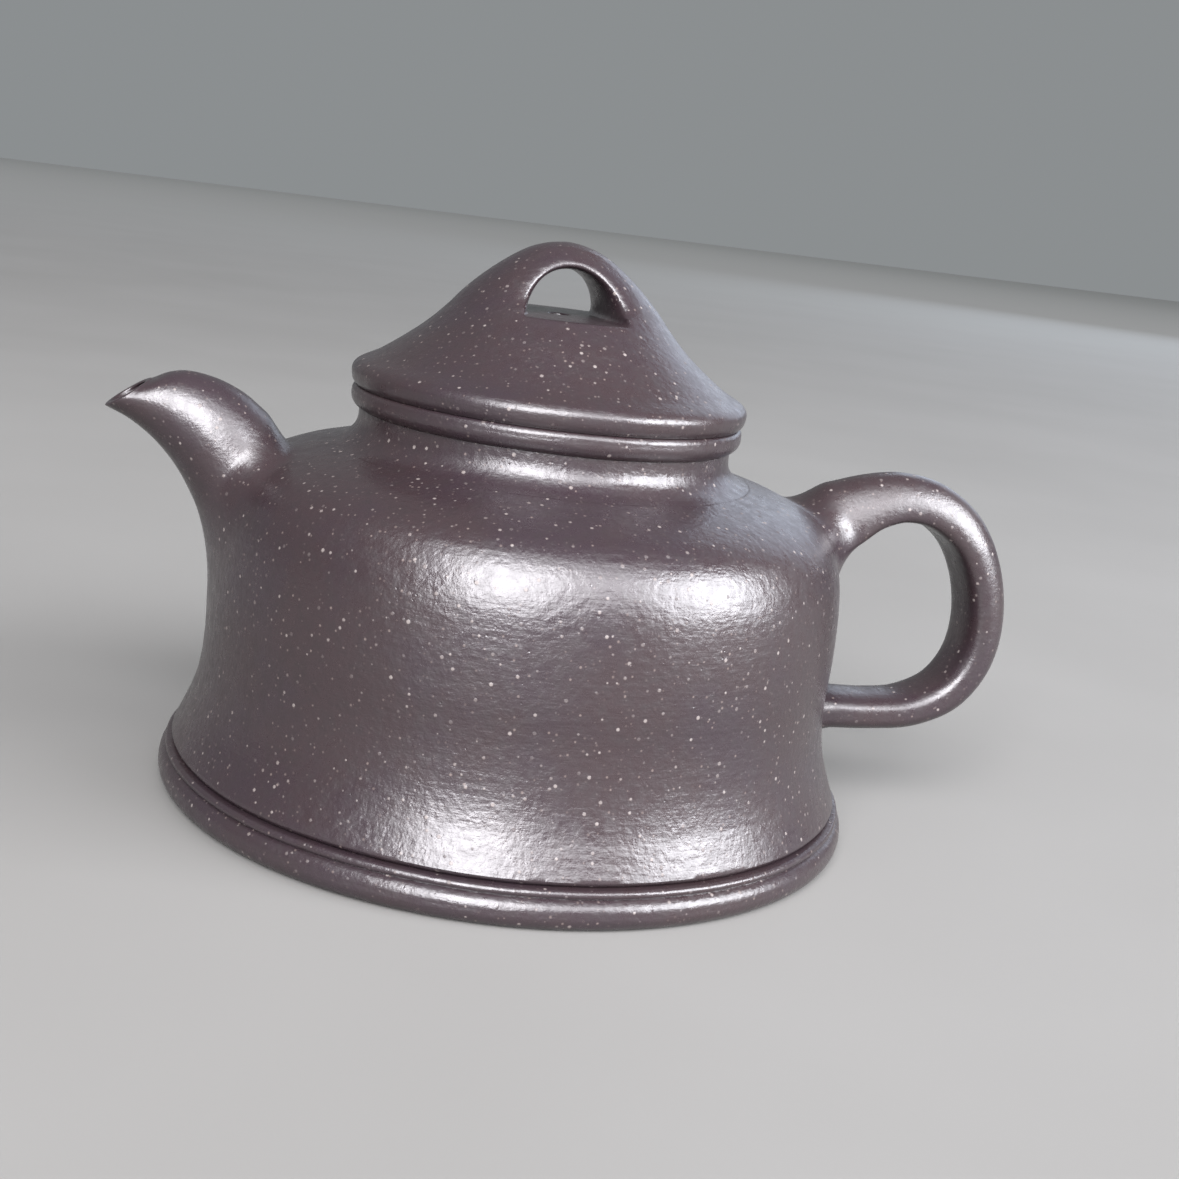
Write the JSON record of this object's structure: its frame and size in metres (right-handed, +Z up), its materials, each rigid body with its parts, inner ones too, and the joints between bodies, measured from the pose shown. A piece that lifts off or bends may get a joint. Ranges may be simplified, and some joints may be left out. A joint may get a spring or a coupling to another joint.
{
  "type": "yixing clay teapot",
  "caption": "Round slab-built clay teapot with a flared beaded foot, a short curved spout, an ear handle and a conical lid with a pierced bridge that lifts off and turns.",
  "frame": {"origin": "on the pot's axis, on the plane of the foot ring that the pot rests on", "axes": "+Z up along the pot's axis, the spout towards -X and the handle towards +X, so +X runs along the longest extent; +Y is square to the spout and handle plane"},
  "size_m": [0.1354, 0.1, 0.0798],
  "materials": {
    "clay": "unglazed stoneware, burnished to a soft sheen, with pale sand grains",
    "clay_inside": "unglazed stoneware, smoothed and matte"
  },
  "bodies": {
    "pot": {"base_slab": "clay_inside", "foot_bead": "clay", "body_wall": "clay", "shoulder_slab": "clay", "neck_ring": "clay", "mouth_bead": "clay", "spout": "clay", "handle": "clay"},
    "lid_ring": {"lid_skirt": "clay"},
    "lid": {"lid_rim_bead": "clay", "lid_cover": "clay", "bridge_knob": "clay"}
  },
  "joints": [
    {"name": "lid_lift", "type": "slide", "parent": "pot", "child": "lid_ring", "axis": [0, 0, 1], "range_m": [0, 0.06]},
    {"name": "lid_turn", "type": "hinge", "parent": "lid_ring", "child": "lid", "pos_m": [0, 0, 0.05735], "axis": [0, 0, 1], "continuous": true}
  ]
}
